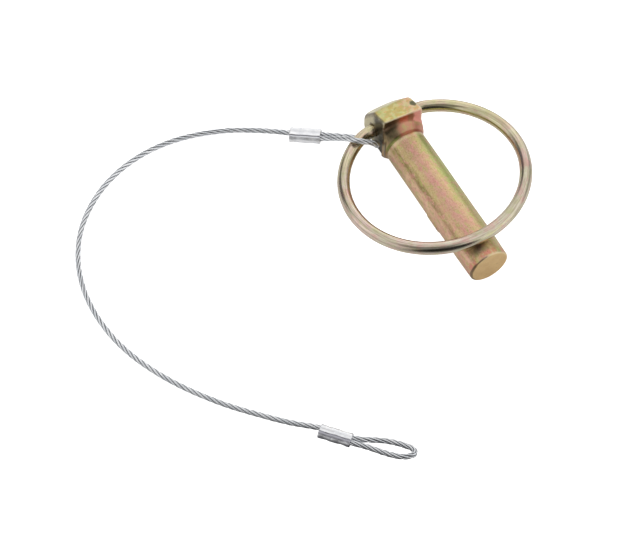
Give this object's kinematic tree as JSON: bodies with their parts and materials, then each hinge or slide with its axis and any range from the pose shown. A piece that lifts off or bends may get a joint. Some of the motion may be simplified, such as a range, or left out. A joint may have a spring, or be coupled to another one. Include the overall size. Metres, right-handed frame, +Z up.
{
  "type": "lynch pin",
  "caption": "Forged round pin with a block head, a wire ring that swings over to close round the shank, and a short wire rope lanyard with a crimped eye.",
  "frame": {"origin": "centre of the pin and ring's box at the surface they lie on, without the lanyard", "axes": "+X along the shank towards the tip, +Z up from the surface the part lies on, +Y across the shank away from the lanyard"},
  "size_m": [0.1121, 0.1182, 0.0152],
  "materials": {
    "pin": "yellow zinc plate",
    "ring": "pale yellow zinc plate on drawn wire",
    "cable": "galvanised strands",
    "ferrule": "bright crimped"
  },
  "bodies": {
    "pin": {"pin": "pin", "cable": "cable", "ferrule_head": "ferrule", "ferrule_eye": "ferrule"},
    "ring": {"ring": "ring"}
  },
  "joints": [
    {"name": "ring_swing", "type": "hinge", "parent": "pin", "child": "ring", "pos_m": [-0.0215, 0, 0.00675], "axis": [0, -0.9983, -0.0586], "range_deg": [0, 172], "deforming": ["cable"]}
  ]
}
